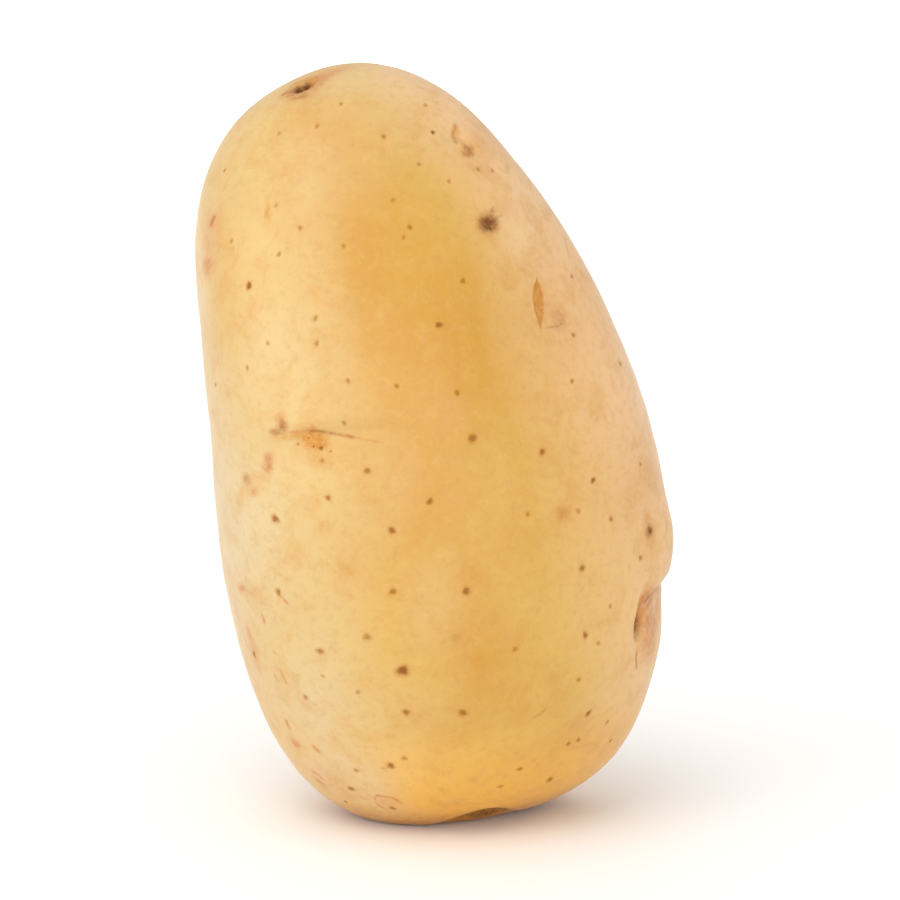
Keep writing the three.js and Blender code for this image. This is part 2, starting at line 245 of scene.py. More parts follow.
# Stains: column, row, half width, half height, clockwise turn, colour, strength.
STAINS = [
    (296.5, 86.5, 5.2, 3.0, -30, "dark", 0.85), (304.5, 82, 4.6, 2.4, -28, "dark", 0.6),
    (303, 86.4, 15, 6, -28, "ochre", 0.95), (326, 74, 26, 4.5, -22, "red", 0.38),
    (322, 75, 18, 4, -24, "ochre", 0.75), (342, 66, 22, 5, -16, "ochre", 0.35),
    (300, 97, 13, 2.4, -12, "purple", 0.28), (284, 93, 9, 3, -28, "ochre", 0.6),
    (314, 442.5, 12.5, 8, 8, "ochre", 1.0), (313, 441, 11, 7.5, 8, "ochre", 1.0),
    (326, 452, 44, 13, 2, "ochre", 0.18),
    (292, 436, 22, 4.5, -4, "ochre", 0.45), (319, 461, 6, 4, 0, "ochre", 0.35),
    (283, 426.5, 5.4, 6.4, 10, "purple", 0.8), (275.5, 431.5, 6, 3.2, -8, "purple", 0.75),
    (282, 418, 3.4, 5.5, 5, "red", 0.6), (280, 408, 6, 9, 0, "red", 0.15),
    (313, 427, 3.4, 2.4, 0, "red", 0.5), (311, 430, 8, 3, 2, "red", 0.45),
    (268, 463, 5, 10, 8, "red", 0.7), (267.5, 457.5, 3.4, 4, 0, "purple", 0.4),
    (267, 468, 4, 4.4, 0, "purple", 0.4),
    (247.3, 479, 3.4, 5.4, -20, "purple", 0.6), (254, 492, 4, 4, 0, "red", 0.6),
    (206, 266, 6, 9, 0, "red", 0.9), (208, 243, 7, 22, 0, "red", 0.4),
    (213, 221, 6, 9, 0, "red", 0.4), (232.6, 248, 2, 2, 0, "red", 0.5),
    (242.5, 588, 5.5, 4.4, 30, "red", 0.9), (252, 592, 7, 4, 0, "red", 0.25),
    (262, 588, 5, 4, 0, "ochre", 0.3), (236, 610, 5, 20, -8, "red", 0.3),
    (267, 213, 2.6, 11, 4, "ochre", 0.8), (295, 359, 5, 5, 0, "ochre", 0.3),
    (324, 527, 9, 9, 20, "ochre", 0.3), (350, 570, 13, 11, 0, "ochre", 0.18),
    (344, 571, 7, 7, 0, "ochre", 0.25),
    (470, 577, 15, 13, 0, "ochre", 0.5), (318, 658, 12, 4, -20, "red", 0.2),
    (481, 660, 8, 7, 0, "ochre", 0.35), (562, 513, 5, 6, 0, "purple", 0.35),
    (562, 513, 9, 9, 0, "ochre", 0.3), (649, 531, 2.4, 5, 4, "dark", 0.9),
    (649, 530, 4.5, 9, 4, "ochre", 0.5), (647, 517, 3, 7, 8, "ochre", 0.6),
    (650, 545, 4, 8, 0, "red", 0.35), (643, 617, 4.2, 17, 8, "ochre", 1.0),
    (641, 622, 2.6, 4, 8, "dark", 0.35), (640, 629, 2.6, 9, 8, "dark", 0.5),
    (638.5, 640, 2.4, 2.4, 0, "dark", 0.2),
    (646, 603, 4, 8, 12, "ochre", 0.8), (654, 596, 8, 10, 30, "red", 0.8),
    (652, 598, 7, 5, -40, "purple", 0.35),
    (653, 622, 8, 20, 4, "red", 0.8), (650, 648, 8, 16, 6, "red", 0.6),
    (468.5, 149.5, 8, 7.5, 0, "ochre", 0.6), (468.5, 150.5, 5.4, 5.2, 0, "purple", 0.65),
    (469, 147.6, 4, 1.6, 10, "dark", 0.25), (472.5, 153, 1.6, 3.4, -20, "dark", 0.15),
    (482, 146, 18, 10, 35, "ochre", 0.35), (480, 168, 12, 6, 20, "red", 0.25),
    (455.5, 133, 3.4, 9, -8, "ochre", 0.6), (488, 223.5, 12, 11, 0, "ochre", 0.35),
    (488, 223.5, 8.6, 8.2, 0, "purple", 1.0),
    (488.5, 224, 7.4, 7.2, 0, "dark", 1.0),
    (492, 211, 5, 2.2, 0, "purple", 0.4), (456, 637, 5, 3.4, 0, "purple", 0.3),
    (474, 779, 4, 4, 0, "red", 0.35), (386, 801, 12, 6, 8, "red", 0.3),
    # The broad ochre and dark stains at rows 816 and 817, in the base eye's dimple, are painted shade of its
    # underside.
    (296, 744, 5, 3, 50, "red", 0.9), (483, 816, 36, 6.5, -2, "ochre", 1.0),
    (484, 817, 30, 5.5, -2, "dark", 0.7),
    (322, 785, 8, 3, 45, "red", 0.5),
    (540, 304, 4, 22, -4, "ochre", 0.45), (546, 306, 7, 16, -6, "red", 0.2),
    (559, 313, 6, 10, -24, "ochre", 0.3), (560, 322, 8, 10, -10, "purple", 0.28),
    (253, 650, 4, 26, -18, "red", 0.35), (565, 300, 40, 60, 0, "red", 0.12),
    (640, 480, 20, 60, 0, "red", 0.15), (500, 120, 30, 30, 0, "red", 0.12),
    (590, 740, 34, 20, 0, "red", 0.15), (330, 780, 40, 16, 20, "red", 0.18),
]
# Lines: points as column and row, half width, colour, strength, depth of the groove in mm.
LINES = [
    ([(287.5, 432.5), (296, 432), (306, 431.8)], 1.3, "red", 0.7, 0.03),
    ([(303, 431.6), (311, 431.2), (319, 431.5), (334, 434.4), (346, 436.4), (359, 438.4)],
     1.7, "purple", 0.66, 0.02),
    ([(340, 435.5), (356, 438), (371, 441), (384, 443)], 1.1, "red", 0.6, 0.03),
    ([(455, 125), (453.5, 130), (454, 135), (457, 141), (461, 144)], 2.0, "purple", 0.5, 0.03),
    ([(647, 590), (645.5, 600), (643, 611), (641, 622), (639, 633), (638.5, 643)],
     1.6, "purple", 0.5, 0.02),
    ([(638, 651), (637, 660), (637.7, 671)], 1.2, "purple", 0.8, 0.08),
    ([(645.5, 606), (650, 598.5), (655, 591.5), (660.5, 584.5)], 2.4, "purple", 0.6, 0.0),
    ([(649, 611), (653.5, 603), (660, 595)], 1.6, "red", 0.7, 0.0),
    ([(650, 620), (653, 627), (654, 636)], 1.2, "red", 0.6, 0.02),
    ([(656, 612), (658, 622), (657, 632)], 1.2, "red", 0.6, 0.02),
    ([(667, 520), (667.5, 528), (667, 535)], 1.2, "purple", 0.7, 0.03),
    ([(661, 512), (662, 524), (660, 540)], 1.0, "red", 0.5, 0.02),
    ([(278, 593), (283, 599), (288.6, 605.6)], 1.5, "red", 0.8, 0.03),
    ([(261, 612.8), (263.5, 619), (264.6, 625)], 1.7, "red", 0.9, 0.02),
    ([(530, 719), (536, 716), (540, 714), (544, 710), (546, 706)], 1.3, "purple", 0.35, 0.03),
    ([(563, 234), (566, 246), (569, 258)], 1.0, "red", 0.6, 0.02),
    ([(375.5, 802), (375, 797), (378, 795), (392, 797), (406, 803.5)], 1.5, "red", 0.8, 0.02),
    ([(375.5, 802), (380, 807), (390, 809), (394, 807)], 1.5, "red", 0.7, 0.02),
    ([(246.6, 624.8), (249, 632), (251.4, 639.2)], 1.6, "red", 0.9, 0.02),
    ([(241, 626), (244, 638), (249, 650)], 1.5, "red", 0.7, 0.02),
    ([(253.8, 649.2), (255.7, 659.4)], 1.9, "purple", 0.7, 0.03),
    ([(271.8, 651), (276.6, 654.8)], 1.4, "red", 0.7, 0.01),
    ([(279, 668), (283, 676), (287.9, 686)], 1.6, "ochre", 0.7, 0.02),
    ([(274, 672), (279, 683)], 1.5, "ochre", 0.6, 0.02),
    ([(285, 718.6), (290.3, 730.2)], 2.2, "red", 1.0, 0.03),
    ([(289.8, 737.6), (294, 742), (297.7, 746.7)], 1.8, "red", 0.9, 0.03),
    ([(310.9, 745), (319.6, 753.7)], 2.3, "red", 1.0, 0.03),
    ([(311.6, 770.4), (318, 775.5), (323.9, 780.4)], 2.3, "red", 1.0, 0.03),
    ([(315, 777.2), (320, 782), (325.8, 785.6)], 1.9, "red", 0.9, 0.02),
    ([(380.3, 768.2), (386, 767.5), (391, 766)], 1.5, "purple", 0.45, 0.02),
    ([(215.5, 215), (212.6, 221), (210.2, 226)], 2.3, "purple", 0.8, 0.03),
    ([(280, 95), (285, 92.5), (291, 90)], 1.3, "purple", 0.7, 0.05),
    ([(284, 97), (289, 94.8), (294, 93)], 1.3, "purple", 0.6, 0.04),
    ([(291.5, 98), (298, 96.8), (304, 95.4)], 1.6, "purple", 0.45, 0.02),
    ([(290.7, 82.9), (300.4, 79.3), (314.7, 76.7)], 1.6, "purple", 0.3, 0.04),
    ([(542, 328.5), (550, 327.3), (558, 325.6), (565, 322.5)], 1.1, "purple", 0.4, 0.0),
    ([(490, 213), (492, 209), (494, 206)], 1.0, "purple", 0.5, 0.02),
    ([(496, 218), (500, 216), (503, 214.5)], 1.0, "purple", 0.35, 0.02),
    ([(481, 222), (477, 220), (475, 217)], 1.0, "purple", 0.35, 0.02),
]
# The big bruise as column, row and radius, and the outlines of the torn sliver and its flap.
BRUISE = (488, 223.5, 7.6)
SLIVER = [(537.5, 278), (534.5, 287), (533.5, 297), (535.5, 310), (539, 320), (542, 328),
          (543.5, 318), (544.5, 306), (544, 295), (541, 285)]
FLAP = [(543, 282), (549, 292), (556, 305), (566, 322), (555, 326), (543, 329), (545, 306), (544, 293)]

# Broad painted highlights, then broad painted shade: column, row, half width, half height, amount, less than
# 0 to take away.
PAINTED_HIGHLIGHTS = [
    (308, 165, 34, 40, 0.4), (365, 180, 30, 34, 0.12), (345, 85, 70, 26, 0.45), (430, 120, 50, 34, 0.45),
    (228, 560, 22, 120, 0.25), (320, 430, 50, 190, 0.25), (340, 780, 50, 24, 0.9), (540, 230, 34, 40, 0.9),
    (320, 690, 40, 50, 0.2), (430, 610, 34, 60, 0.25), (215, 270, 30, 80, -0.3), (285, 290, 30, 40, -0.2),
    (500, 160, 26, 26, -0.3),
]
PAINTED_SHADES = [
    (455, 300, 48, 130, 0.35), (470, 640, 34, 90, 0.25), (400, 170, 40, 40, 0.2), (565, 430, 40, 90, 0.25),
    (500, 340, 50, 80, 0.55), (560, 330, 30, 50, 0.4), (595, 400, 24, 40, 0.3),
]

KINDS = ["ochre", "red", "purple", "dark"]
OCHRE, RED, PURPLE, DARK = range(len(KINDS))


def cast(pixels):
    """The directions on the front of the body that are seen at these pixels."""
    pixels = np.array(pixels, float)
    east, north = np.meshgrid(np.arange(-100, 121, 2.5), np.arange(-86, 87, 2.5))
    grid = direction_from(east.ravel(), north.ravel())
    seen = project(body_point(grid))
    hidden = body_normal(grid) @ VIEW < 0.05
    far = ((pixels[:, None] - seen[None]) ** 2).sum(-1) + 1e6 * hidden[None]
    d = grid[far.argmin(1)]
    for _ in range(12):
        first, second = tangents(d)
        here = project(body_point(d))
        eps = 1e-3
        a = (project(body_point(unit(d + eps * first))) - here) / eps
        b = (project(body_point(unit(d + eps * second))) - here) / eps
        miss = pixels - here
        det = a[:, 0] * b[:, 1] - a[:, 1] * b[:, 0]
        det = np.where(np.abs(det) < 1e3, np.sign(det + 1e-9) * 1e3, det)
        u = (miss[:, 0] * b[:, 1] - miss[:, 1] * b[:, 0]) / det
        v = (a[:, 0] * miss[:, 1] - a[:, 1] * miss[:, 0]) / det
        size = np.maximum(1, np.hypot(u, v) / 0.05)
        d = unit(d + (u / size)[:, None] * first + (v / size)[:, None] * second)
    return d


def picture_frame(d):
    """Centre, outward normal, and the skin's own right and up as the viewer sees them."""
    centre, out = body_point(d), body_normal(d)
    right = unit(np.array([[1.0, 0, 0]]) - out * out[:, :1])
    return centre, out, right, np.cross(out, right)


def to_pixels(centre, right, up, least=0.45):
    """A 2 by 2 matrix from mm along right and up to pixels right and down in the picture."""
    here = project(centre[None])[0]
    m = np.stack([project((centre + v * 0.1)[None])[0] - here for v in (right, up)], 1) / 0.1
    u, s, vt = np.linalg.svd(m)
    return u @ np.diag(np.maximum(s, least * PIXELS_PER_MM)) @ vt


def spin(angle):
    """A 2 by 2 matrix that turns by an angle in radians."""
    c, s = math.cos(angle), math.sin(angle)
    return np.array([[c, s], [-s, c]])


rng = np.random.default_rng(20)
PORE_SCALE = 1.1
STRETCH_SEEN = (1.0, 1.25)
STRETCH_HIDDEN = (1.0, 1.5)

# Every pore as: centre, right, up, radius in mm, darkness, stretch, angle.
pores = []
pore_directions = cast([p[:2] for p in PORES])
for (*_, radius, tone), c, _, right, up in zip(PORES, *picture_frame(pore_directions)):
    pores.append((c, right, up, PORE_SCALE * radius / PIXELS_PER_MM, tone,
                  rng.uniform(*STRETCH_SEEN), rng.uniform(0, math.pi)))
bruise_direction = cast([BRUISE[:2]])
c, _, right, up = [v[0] for v in picture_frame(bruise_direction)]
pores.append((c, right, up, BRUISE[2] / PIXELS_PER_MM, 0.15, 1.05, 0.4))

# Out of the viewer's sight, pores of the same sizes are strewn by chance.
# Their radius in mm and their darkness are a least value and the most that chance adds to it.
PORE_GAP = 4.2
STREWN_TRIES = 420
STREWN_RADIUS = (0.3, 0.3)
STREWN_TONE = (0.35, 0.5)
strewn = unit(rng.normal(size=(STREWN_TRIES, 3)))
strewn = strewn[body_normal(strewn) @ VIEW < 0.02]
kept = []
for d in strewn:
    p = body_point(d[None])[0]
    if all(np.linalg.norm(p - q) > PORE_GAP for q in kept) and p[2] > 0.5:
        kept.append(p)
        c, _, right, up = [v[0] for v in picture_frame(d[None])]
        big = rng.random()
        radius = STREWN_RADIUS[0] + STREWN_RADIUS[1] * big ** 2
        pores.append((c, right, up, radius, STREWN_TONE[0] + STREWN_TONE[1] * big,
                      rng.uniform(*STRETCH_HIDDEN), rng.uniform(0, math.pi)))

# Every stain as: centre, normal, right, up, matrix from mm to half sizes, kind, strength.
# The ones out of sight are strewn by chance.
STRAY_STAINS = 34
STRAY_SHARES = [0.5, 0.33, 0.17, 0.0]
stains = []
stain_frames = picture_frame(cast([s[:2] for s in STAINS]))
for (*_, w, h, turn, kind, strength), c, out, right, up in zip(STAINS, *stain_frames):
    sizes = np.diag([1 / w, 1 / h]) @ spin(math.radians(turn)) @ to_pixels(c, right, up)
    stains.append((c, out, right, up, sizes, KINDS.index(kind), strength))
hidden = [d for d in unit(rng.normal(size=(150, 3))) if body_normal(d[None])[0] @ VIEW < -0.1]
for d in hidden[:STRAY_STAINS]:
    c, out, right, up = [v[0] for v in picture_frame(d[None])]
    w = rng.uniform(0.5, 1.9)
    h = w * rng.uniform(0.4, 1.0)
    sizes = np.diag([1 / w, 1 / h]) @ spin(rng.uniform(0, math.pi))
    kind = rng.choice(len(KINDS), p=STRAY_SHARES)
    stains.append((c, out, right, up, sizes, kind, rng.uniform(0.3, 0.7)))

lines = []
for points, width, kind, strength, depth in LINES:
    ends = body_point(cast(points))
    lines.append((ends, width / PIXELS_PER_MM, KINDS.index(kind), strength, depth))

TORN_RINGS = [body_point(cast(shape + shape[:1])) for shape in (SLIVER, FLAP)]


def near_line(p, ends):
    """Distance from points to a chain of points, and how far along it, 0 to 1."""
    best = np.full(len(p), 1e9)
    along = np.zeros(len(p))
    lengths = np.linalg.norm(np.diff(ends, axis=0), axis=1)
    starts = np.concatenate([[0], np.cumsum(lengths)])
    for k in range(len(ends) - 1):
        ab = ends[k + 1] - ends[k]
        t = np.clip(((p - ends[k]) @ ab) / (ab @ ab), 0, 1)
        far = np.linalg.norm(p - ends[k] - t[:, None] * ab, axis=1)
        closer = far < best
        best = np.where(closer, far, best)
        along = np.where(closer, (starts[k] + t * lengths[k]) / starts[-1], along)
    return best, along


def inside_shape(p, shape):
    """Signed distance in mm on the skin to a closed outline read off the picture."""
    d = cast(shape)
    ring = body_point(d)
    centre = ring.mean(0)
    out = unit(body_normal(d).mean(0))
    right = unit(np.array([1.0, 0, 0]) - out * out[0])
    up = np.cross(out, right)
    flat = np.stack([(ring - centre) @ right, (ring - centre) @ up], 1)
    q = np.stack([(p - centre) @ right, (p - centre) @ up], 1)
    best = np.full(len(p), 1e9)
    inside = np.zeros(len(p), bool)
    for k in range(len(flat)):
        a, b = flat[k], flat[(k + 1) % len(flat)]
        ab = b - a
        t = np.clip(((q - a) @ ab) / (ab @ ab), 0, 1)
        best = np.minimum(best, np.linalg.norm(q - a - t[:, None] * ab, axis=1))
        crosses = (a[1] > q[:, 1]) != (b[1] > q[:, 1])
        at = a[0] + (q[:, 1] - a[1]) / np.where(ab[1] == 0, 1e-9, ab[1]) * ab[0]
        inside ^= crosses & (q[:, 0] < at)
    off = np.abs((p - centre) @ out) > 3
    return np.where(off, 9.0, np.where(inside, -best, best))


# The net of the skin: the longest edges in mm, on plain skin and beside the marks.
COARSE = 0.9
COARSE_BACK = 1.4
BACK_FROM = 6
FINE_EYE = 0.48
FINE_SCAR = 0.22
FINE_LINE = 0.22
FINE_TORN = 0.15
FINE_PORE = 0.24
# How much longer an edge may be for each mm away from a mark.
GROWTH = 0.7
PORE_GROWTH = GROWTH * 1.3
EYE_HEIGHT = 1.8
SCAR_REACH, SCAR_HEIGHT = 2.8, 2.6
LINE_MARGIN = 0.3
PORE_MARGIN = 1.15
BLOCK = 20000
ROUNDS = 14


def plain_edge(p):
    """The longest edge on plain skin: longer on the far side, which has few marks."""
    return np.where(p[:, 1] > BACK_FROM, COARSE_BACK, COARSE)


def wanted_edge(p):
    edge = plain_edge(p)
    boxes = [(f, f["reach"], EYE_HEIGHT, FINE_EYE) for f in PLACED_EYES.values()]
    boxes.append((PLACED_SCAR, SCAR_REACH, SCAR_HEIGHT, FINE_SCAR))
    for f, reach, height, fine in boxes:
        past = np.abs(np.stack(local(f, p))) - np.array([[reach], [height], [reach]])
        away = np.linalg.norm(np.maximum(0, past), axis=0)
        edge = np.minimum(edge, fine + GROWTH * away)
    for ends, *_ in lines:
        far, _ = near_line(p, ends)
        edge = np.minimum(edge, FINE_LINE + GROWTH * np.maximum(0, far - LINE_MARGIN))
    for ring in TORN_RINGS:
        far, _ = near_line(p, ring)
        edge = np.minimum(edge, FINE_TORN + GROWTH * far)
    return edge


PORE_CENTRES = np.array([p[0] for p in pores])
PORE_RADII = np.array([p[3] for p in pores])


def pore_edge(p):
    edge = np.zeros(len(p))
    for start in range(0, len(p), BLOCK):
        q = p[start:start + BLOCK]
        squares = (q ** 2).sum(1)[:, None] + (PORE_CENTRES ** 2).sum(1)[None]
        far = np.sqrt(np.maximum(0, squares - 2 * q @ PORE_CENTRES.T))
        want = FINE_PORE + PORE_GROWTH * np.maximum(0, far - PORE_MARGIN * PORE_RADII[None])
        edge[start:start + BLOCK] = want.min(1)
    return edge


def first_net():
    bpy.ops.mesh.primitive_ico_sphere_add(subdivisions=6, radius=1)
    ball = bpy.context.object
    co = np.zeros(len(ball.data.vertices) * 3)
    ball.data.vertices.foreach_get("co", co)
    tri = np.zeros(len(ball.data.polygons) * 3, np.int64)
    ball.data.polygons.foreach_get("vertices", tri)
    bpy.data.objects.remove(ball)
    return unit(co.reshape(-1, 3)), tri.reshape(-1, 3)


def refine(d, p, tri, old):
    """Halves every edge that is too long, and the longest edge of each triangle beside one.

    Edges between the first `old` points were found short enough before."""
    sides = np.stack([tri, np.roll(tri, -1, 1)], 2)
    span = np.linalg.norm(p[sides[:, :, 0]] - p[sides[:, :, 1]], axis=2)
    longest = span.argmax(1)
    tri = np.take_along_axis(tri, (longest[:, None] + np.arange(3)) % 3, 1)
    sides = np.sort(np.stack([tri, np.roll(tri, -1, 1)], 2), 2).reshape(-1, 2)
    key = sides[:, 0] * len(p) + sides[:, 1]
    known, back = np.unique(key, return_inverse=True)
    back = back.reshape(-1, 3)
    a, b = known // len(p), known % len(p)
    middle = (p[a] + p[b]) / 2
    length = np.linalg.norm(p[a] - p[b], axis=1)
    want = plain_edge(middle)
    marked = length > want
    close = (~marked) & (length > FINE_PORE) & ((a >= old) | (b >= old))
    want[close] = np.minimum(wanted_edge(middle[close]), pore_edge(middle[close]))
    marked |= close & (length > want)
    while True:
        need = marked[back].any(1) & ~marked[back[:, 0]]
        if not need.any():
            break
        marked[back[need, 0]] = True
    new = np.full(len(known), -1)
    new[marked] = len(p) + np.arange(marked.sum())
    fresh = unit(d[a[marked]] + d[b[marked]])
    m, n, o = new[back].T
    a, b, c = tri.T
    parts = [tri[m < 0]]
    one = (m >= 0) & (n < 0)
    parts.append(np.stack([m, b, c], 1)[one])
    two = (m >= 0) & (n >= 0)
    parts += [np.stack([m, b, n], 1)[two], np.stack([m, n, c], 1)[two]]
    one = (m >= 0) & (o < 0)
    parts.append(np.stack([a, m, c], 1)[one])
    two = (m >= 0) & (o >= 0)
    parts += [np.stack([a, m, o], 1)[two], np.stack([m, c, o], 1)[two]]
    p = np.concatenate([p, body_point(fresh)])
    return np.concatenate([d, fresh]), p, np.concatenate(parts), marked.sum()


d, tri = first_net()
base = body_point(d)
old = 0
for _ in range(ROUNDS):
    count = len(d)
    d, base, tri, fresh = refine(d, base, tri, old)
    old = count
    if fresh == 0:
        break
print("skin triangles", len(tri))


# Relief and colours.
def waves(p, count, shortest, longest, seed):
    """A smooth random field of about unit size, made of plane waves."""
    pick = np.random.default_rng(seed)
    total = np.zeros(len(p))
    for _ in range(count):
        toward = unit(pick.normal(size=3))
        length = pick.uniform(shortest, longest)
        total += np.cos(p @ toward * 2 * math.pi / length + pick.uniform(0, 2 * math.pi))
    return total / math.sqrt(count / 2)


def ramp(value, start, width):
    """0 up to a start, then rising to 1 over a width."""
    return np.clip((value - start) / width, 0, 1)


# The low relief in mm.
CORK_REACH, CORK_RISE = 2.0, 0.06
SWAY_RISE, RIPPLE_RISE = 0.10, 0.012
GOUGE_DEPTH, LOOSE_RISE = 0.22, 0.03
TORN_EDGE = 0.25
# A pore's measures are shares of its radius: depth and half width of its pit, height, place and
# half width of its rim, and its reach. Its outline has lobes: how many, and how far they stand out.
PORE_PIT, PORE_PIT_WIDTH = 0.112, 0.8
PORE_RIM, PORE_RIM_AT, PORE_RIM_WIDTH = 0.05, 1.4, 0.5
PORE_REACH = 2
PORE_LOBES = [(2, 0.08), (3, 0.07)]
# Random fields: how many waves, the shortest and the longest in mm, and the seed.
CORK_WAVES = (40, 0.8, 2.0, 31)
SWAY_WAVES = (26, 13, 30, 5)
RIPPLE_WAVES = (30, 3, 7, 6)
TONE_WAVES = (24, 16, 45, 11)

out = body_normal(d)
height = base[:, 2]
lift = scar_relief(PLACED_SCAR, base)
for f in PLACED_EYES.values():
    lift += eye_relief(f, base)

east, north, depth = local(PLACED_SCAR, base)
scar_radius = np.hypot(east, north)
scar_fade = bell(depth, 8)
cork = bell(scar_radius, CORK_REACH) * scar_fade
torn = cork * waves(base, *CORK_WAVES)
lift += CORK_RISE * torn
unevenness = SWAY_RISE * waves(base, *SWAY_WAVES) + RIPPLE_RISE * waves(base, *RIPPLE_WAVES)
lift += ramp(height, 1.5, 3) * unevenness

pore = np.zeros(len(base))
tone = np.zeros(len(base))
for c, right, up, radius, dark, stretch, angle in pores:
    away = base - c
    close = np.nonzero((np.abs(away) < radius * 4 + 0.6).all(1))[0]
    away = away[close]
    x, y = away @ right, away @ up
    u = (x * math.cos(angle) + y * math.sin(angle)) / (radius * stretch ** 0.5)
    v = (y * math.cos(angle) - x * math.sin(angle)) / (radius / stretch ** 0.5)
    around = np.arctan2(v, u)
    # Each pore's lobes are turned another way.
    turns = dark * 40, dark * 70 + radius * 30
    lobes = sum(out_by * np.sin(count * around + turn) for (count, out_by), turn in zip(PORE_LOBES, turns))
    r = np.hypot(u, v) * (1 + lobes)
    value = 1 - r / PORE_REACH
    better = value > pore[close]
    tone[close[better]] = dark
    pore[close] = np.maximum(pore[close], value)
    rim = PORE_RIM * bell(r - PORE_RIM_AT, PORE_RIM_WIDTH)
    lift[close] += radius * (rim - PORE_PIT * bell(r, PORE_PIT_WIDTH))

stain_and_painted_shade = np.zeros((len(base), len(KINDS)))


def add_stain(kind, amount):
    stain_and_painted_shade[:, kind] = 1 - (1 - stain_and_painted_shade[:, kind]) * (1 - amount)


def least_stain(kind, amount):
    stain_and_painted_shade[:, kind] = np.maximum(stain_and_painted_shade[:, kind], amount)


# A stain ends a little outside its half sizes, steeply, and does not show through the tuber.
STAIN_END, STAIN_STEEPNESS, STAIN_DEPTH = 1.05, 2.6, 4
# A line thins out towards its ends, down to its least strength, and its groove is wider than its colour.
LINE_TAPER, LINE_LEAST, GROOVE_WIDTH = 6, 0.15, 1.3
for c, o, right, up, m, kind, strength in stains:
    away = base - c
    q = np.stack([away @ right, away @ up], 1) @ m.T
    r = np.hypot(q[:, 0], q[:, 1])
    spot = np.exp(-(r / STAIN_END) ** STAIN_STEEPNESS)
    add_stain(kind, strength * spot * bell(away @ o, STAIN_DEPTH))
for ends, width, kind, strength, depth in lines:
    far, along = near_line(base, ends)
    taper = np.clip(np.minimum(along, 1 - along) * LINE_TAPER, LINE_LEAST, 1)
    mark = bell(far, width) * taper
    add_stain(kind, strength * mark)
    lift -= depth * bell(far, width * GROOVE_WIDTH) * taper

# An eye is ochre at its bud and, more faintly, below its brow, and purple along its crease.
for f in PLACED_EYES.values():
    eye_east, eye_north, eye_depth = local(f, base)
    over = over_brow(f, eye_east, eye_north)
    here = f["tint"] * bell(eye_depth, f["reach"])
    from_bud = np.hypot((eye_east - f["bud_east"]) / 1.6, over + f["bud_drop"])
    bud = here * bell(from_bud, f["bud_width"] * 1.5)
    crease = here * bell(eye_east, f["reach"] * 0.75) * bell(over, 0.28)
    wide = here * bell(eye_east, f["reach"]) * bell(over + f["below"] * 0.3, f["below"] * 0.8)
    add_stain(OCHRE, np.clip(0.75 * bud + 0.3 * wide, 0, 1))
    add_stain(PURPLE, np.clip(0.8 * crease, 0, 1))

# The stem scar is dark in its pit, corky in dark and ochre streaks around it, and purple at the rim.
hole = bell(east, 1.25) * bell(north - 0.15, 0.6) * scar_fade
streaks = np.clip(0.5 + 0.75 * torn, 0, 1)
add_stain(DARK, np.clip(1.25 * hole, 0, 1))
add_stain(DARK, 0.35 * cork * streaks)
add_stain(OCHRE, 0.9 * cork * (1 - streaks))
add_stain(PURPLE, 0.35 * bell(scar_radius - 2.6, 0.6) * scar_fade * streaks)

# The torn sliver is sunk, and its flap stands up a little.
sliver = inside_shape(base, SLIVER)
flap = inside_shape(base, FLAP)
gouge = np.clip(0.5 - sliver / TORN_EDGE, 0, 1)
loose = np.clip(0.5 - flap / TORN_EDGE, 0, 1) * (1 - gouge)
lift += LOOSE_RISE * loose - GOUGE_DEPTH * gouge
least_stain(OCHRE, 0.85 * gouge)
least_stain(PURPLE, 0.25 * bell(sliver + 0.05, 0.2))
least_stain(RED, 0.14 * loose)
# Painted shade: towards the floor the skin is painted ochre, and brown where it rests, for the shadow where
# it meets the floor.
least_stain(OCHRE, np.clip(1.1 - height / 4.0, 0, 1))
least_stain(DARK, 0.5 * np.clip(1 - height / 1.6, 0, 1))

# Level is mm along the tuber from its middle, and flank runs from -1 on the left to 1 on the right.
HALF_ACROSS, HALF_ALONG, ACROSS_SHIFT = 31.5, 62, 1.5
level = (base - MIDDLE) @ np.array([math.sin(LEAN), 0, math.cos(LEAN)])
half = HALF_ACROSS * np.sqrt(np.clip(1 - (level / HALF_ALONG) ** 2, 0.05, 1))
flank = ((base - MIDDLE) @ np.array([math.cos(LEAN), 0, -math.sin(LEAN)]) - ACROSS_SHIFT) / half
uneven = 0.10 * waves(base, *TONE_WAVES)
# Painted light and shade: the left flank, where the light falls, is painted lighter as a painted highlight;
# the right rim, and thinly the left rim, get a painted sheen; a middle band is painted darker as painted
# shade; and the bottom is painted brighter, as light from the floor. Random waves make each uneven.
left_painted_highlight = np.clip(0.05 - flank + uneven, 0, 1) * (1 - 0.7 * ramp(-flank, 0.7, 0.3))
right_painted_sheen = np.clip((flank - 0.6) / 0.5 + uneven * 0.5, 0, 1) * np.clip(1 + level / 80, 0.75, 1.05)
painted_shade = np.clip(1.15 - np.abs(flank - 0.14) / 0.42, 0, 1) * np.clip(0.75 + level / 60 + uneven * 2, 0, 1)
low = (1 - ramp(height, 4, 16)) * (1 - 0.7 * ramp(-flank, 0.35, 0.3))
painted_highlight = left_painted_highlight * (1 - 0.8 * low)
painted_rim_sheen = np.maximum(right_painted_sheen, 0.2 * ramp(-flank, 0.8, 0.2)) * (1 - 0.7 * low)
# The broad painted highlights and painted shade are added to their masks.
PART_DEPTH = 25
for table, amount in ((PAINTED_HIGHLIGHTS, painted_highlight), (PAINTED_SHADES, painted_shade)):
    for part, centre in zip(table, body_point(cast([part[:2] for part in table]))):
        wide, tall = part[2] / PIXELS_PER_MM, part[3] / PIXELS_PER_MM
        away = base - centre
        amount += part[4] * bell(away[:, 0], wide) * bell(away[:, 2], tall) * bell(away[:, 1], PART_DEPTH)

skin = base + out * lift[:, None]
skin[:, 2] = settle(skin[:, 2])

